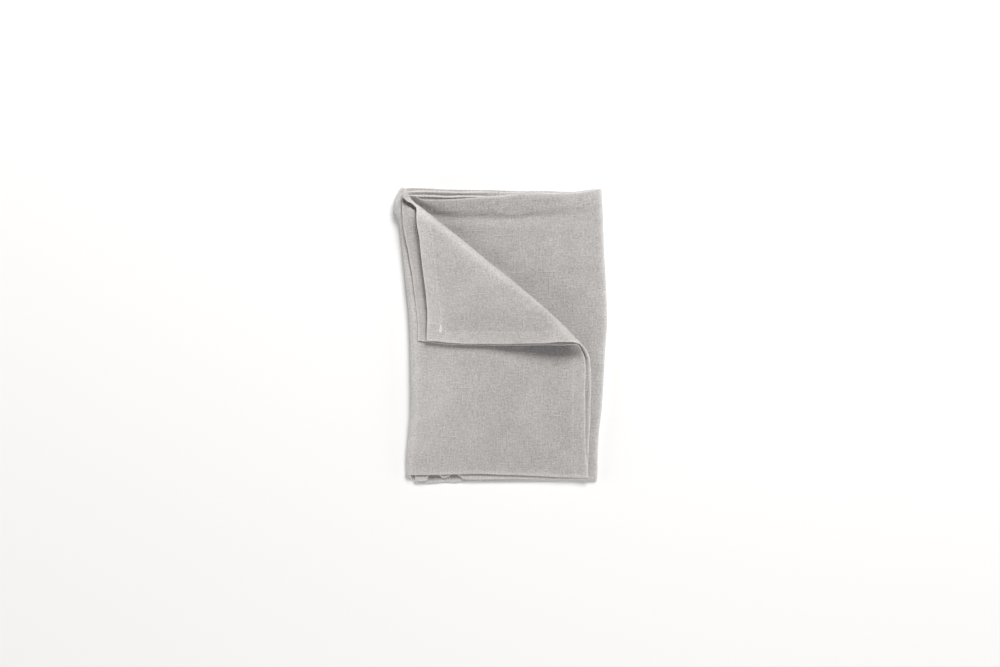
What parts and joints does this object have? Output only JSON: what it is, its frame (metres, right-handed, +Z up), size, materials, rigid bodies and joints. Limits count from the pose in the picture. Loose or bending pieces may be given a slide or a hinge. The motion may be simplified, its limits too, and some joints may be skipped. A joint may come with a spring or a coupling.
{
  "type": "folded cloth napkin",
  "caption": "Linen table napkin folded in half and then in thirds, lying flat, with its top corner turned down over the front in a soft roll.",
  "frame": {"origin": "centre of the napkin's bounding box, on the surface it lies on", "axes": "+X across the folded panels towards the plain right fold, +Y along the panels towards the tight end of the turned corner, +Z up"},
  "size_m": [0.1638, 0.2262, 0.0227],
  "materials": {
    "washed_linen": "matt, warm grey, plain weave with slubs"
  },
  "bodies": {
    "root": {"napkin_cloth": "washed_linen"}
  },
  "joints": []
}
